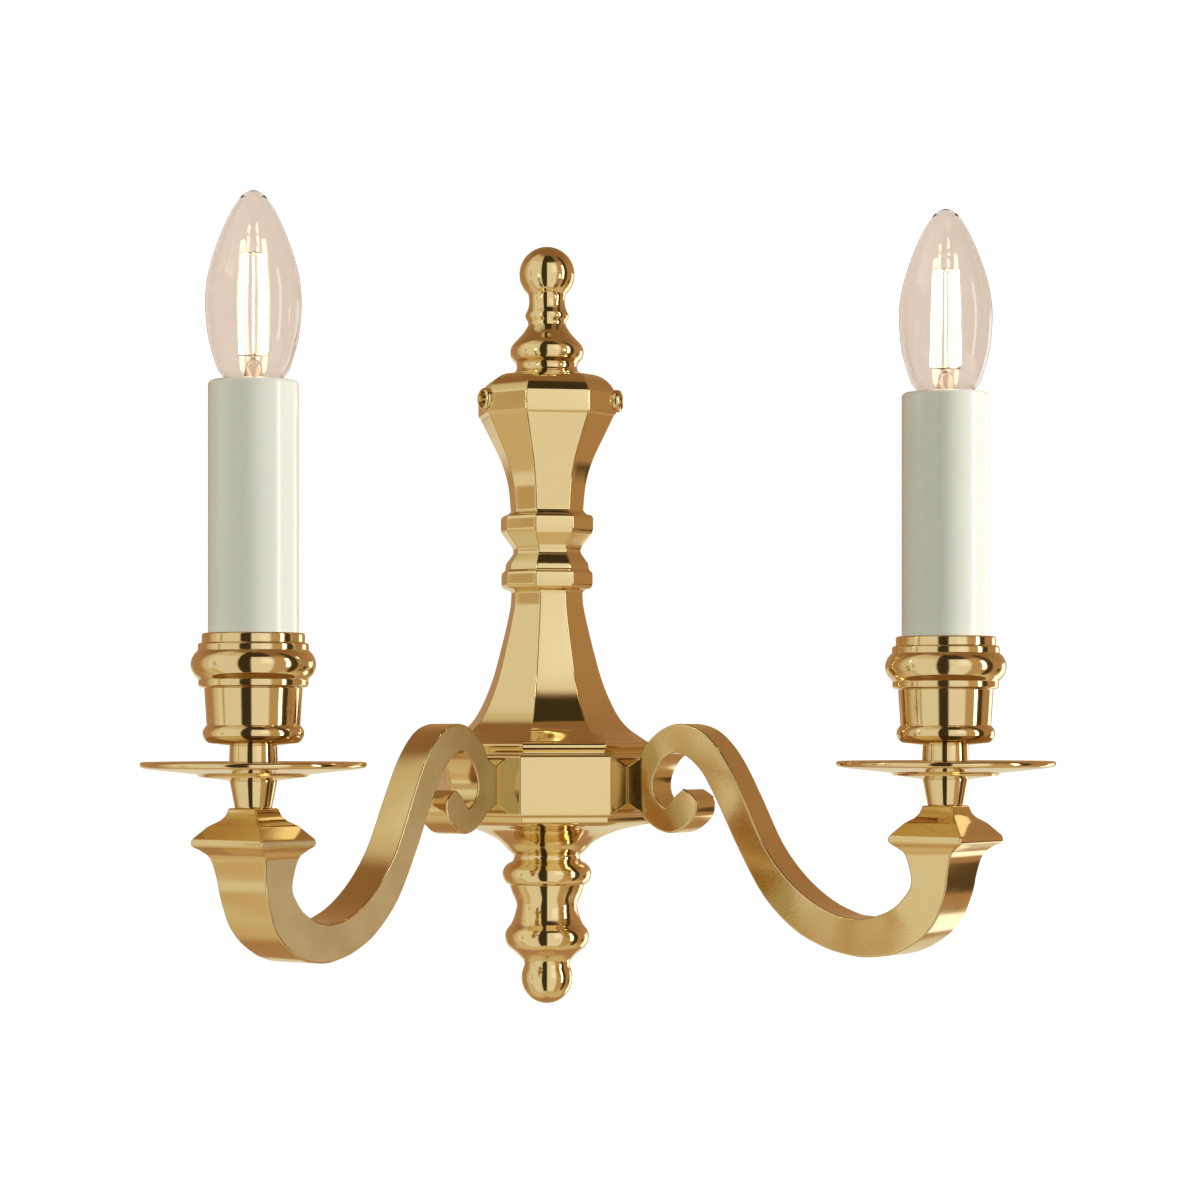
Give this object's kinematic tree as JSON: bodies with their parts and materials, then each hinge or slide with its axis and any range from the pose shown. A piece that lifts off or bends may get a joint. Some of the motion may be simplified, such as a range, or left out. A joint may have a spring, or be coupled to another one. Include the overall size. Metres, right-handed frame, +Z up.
{
  "type": "double arm wall sconce",
  "caption": "Wall light with an octagonal turned-style brass body, scroll arms, drip pans and candle sleeves that carry clear candle lamps.",
  "frame": {"origin": "on the wall plane, on the sconce's middle line, level with the two side screws of the head", "axes": "+Y into the wall, +Z up, +X to the sconce's right as seen from the front"},
  "size_m": [0.342, 0.191, 0.308],
  "materials": {
    "polished_brass": "polished and lacquered",
    "bracket_steel": "zinc plated",
    "fixing_steel": "zinc plated, threaded",
    "brass_fixing": "machined",
    "terminal_plastic": "moulded",
    "candle_ivory": "moulded, glossy",
    "holder_plastic": "moulded",
    "holder_metal": "pressed",
    "lamp_glass": "clear blown",
    "lamp_cap_metal": "nickel plated",
    "lamp_contact_black": "black glass with a solder tip",
    "filament_glow": "glowing coating",
    "nickel_wire": "drawn",
    "wire_insulation": "extruded"
  },
  "bodies": {
    "sconce": {"body_casting": "polished_brass", "top_finial": "polished_brass", "bottom_finial": "polished_brass", "wall_strap": "bracket_steel", "strap_yoke": "bracket_steel", "side_screws": "fixing_steel", "top_stud": "fixing_steel", "top_stud_nut": "brass_fixing", "bottom_stud": "fixing_steel", "bottom_stud_nut": "brass_fixing", "terminal_block": "terminal_plastic", "terminal_screws": "brass_fixing", "earth_screw": "brass_fixing", "earth_washer": "brass_fixing", "left_arm": "polished_brass", "left_arm_nipple": "brass_fixing", "left_arm_nut": "brass_fixing", "left_lower_neck": "polished_brass", "left_drip_pan": "polished_brass", "left_upper_neck": "polished_brass", "left_candle_cup": "polished_brass", "left_candle_nipple": "brass_fixing", "left_cup_nut": "brass_fixing", "left_lampholder": "holder_plastic", "left_holder_shell": "holder_metal", "left_holder_contact": "holder_metal", "left_inner_wire": "wire_insulation", "right_arm": "polished_brass", "right_arm_nipple": "brass_fixing", "right_arm_nut": "brass_fixing", "right_lower_neck": "polished_brass", "right_drip_pan": "polished_brass", "right_upper_neck": "polished_brass", "right_candle_cup": "polished_brass", "right_candle_nipple": "brass_fixing", "right_cup_nut": "brass_fixing", "right_lampholder": "holder_plastic", "right_holder_shell": "holder_metal", "right_holder_contact": "holder_metal", "right_inner_wire": "wire_insulation"},
    "left_sleeve": {"left_candle_sleeve": "candle_ivory"},
    "left_lamp": {"left_lamp_glass": "lamp_glass", "left_lamp_cap": "lamp_cap_metal", "left_lamp_contact": "lamp_contact_black", "left_lamp_stem": "lamp_glass", "left_lamp_filaments": "filament_glow", "left_filament_wires": "nickel_wire"},
    "right_sleeve": {"right_candle_sleeve": "candle_ivory"},
    "right_lamp": {"right_lamp_glass": "lamp_glass", "right_lamp_cap": "lamp_cap_metal", "right_lamp_contact": "lamp_contact_black", "right_lamp_stem": "lamp_glass", "right_lamp_filaments": "filament_glow", "right_filament_wires": "nickel_wire"}
  },
  "joints": [
    {"name": "left_sleeve_lift", "type": "slide", "parent": "sconce", "child": "left_sleeve", "axis": [0, 0, 1], "range_m": [0, 0.112]},
    {"name": "left_lamp_removal", "type": "slide", "parent": "left_sleeve", "child": "left_lamp", "axis": [0, 0, 1], "range_m": [0, 0.032]},
    {"name": "right_sleeve_lift", "type": "slide", "parent": "sconce", "child": "right_sleeve", "axis": [0, 0, 1], "range_m": [0, 0.112]},
    {"name": "right_lamp_removal", "type": "slide", "parent": "right_sleeve", "child": "right_lamp", "axis": [0, 0, 1], "range_m": [0, 0.032]}
  ]
}
